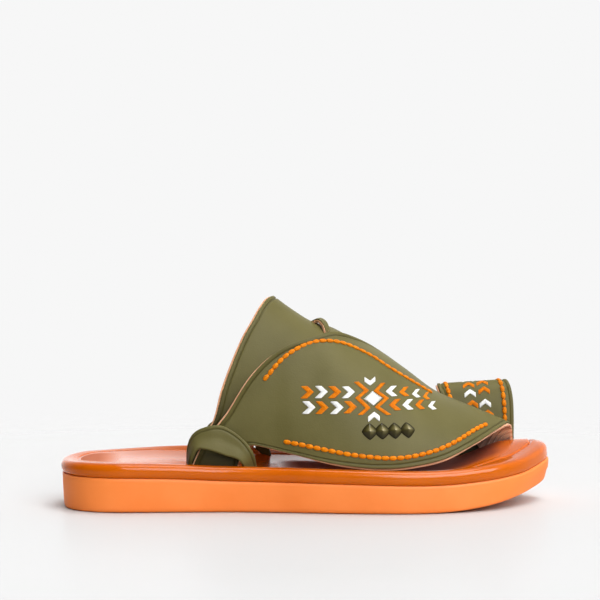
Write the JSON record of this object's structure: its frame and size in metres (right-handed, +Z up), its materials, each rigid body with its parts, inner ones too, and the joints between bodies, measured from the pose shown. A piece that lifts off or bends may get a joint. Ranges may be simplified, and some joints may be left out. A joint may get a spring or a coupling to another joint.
{
  "type": "slide sandal with toe loop",
  "caption": "Right leather slide sandal with crossed straps over the instep and toes, a big-toe loop, strap keepers, a rolled footbed and a thick foam sole.",
  "frame": {"origin": "middle of the bounding box in plan, on the floor plane under the sole", "axes": "+X from heel to toe, +Y to the inner side of the right foot, +Z up"},
  "size_m": [0.2883, 0.1062, 0.1227],
  "materials": {
    "sole_foam": "matt",
    "footbed_leather": "gloss",
    "strap_leather": "satin",
    "stud_leather": "gloss"
  },
  "bodies": {
    "root": {"sole": "sole_foam", "footbed": "footbed_leather", "upper": "strap_leather", "toe_loop": "strap_leather", "keeper_outer": "strap_leather", "keeper_inner": "strap_leather", "crossing_tie": "strap_leather", "stud_1": "stud_leather", "stud_2": "stud_leather", "stud_3": "stud_leather", "stud_4": "stud_leather"}
  },
  "joints": []
}
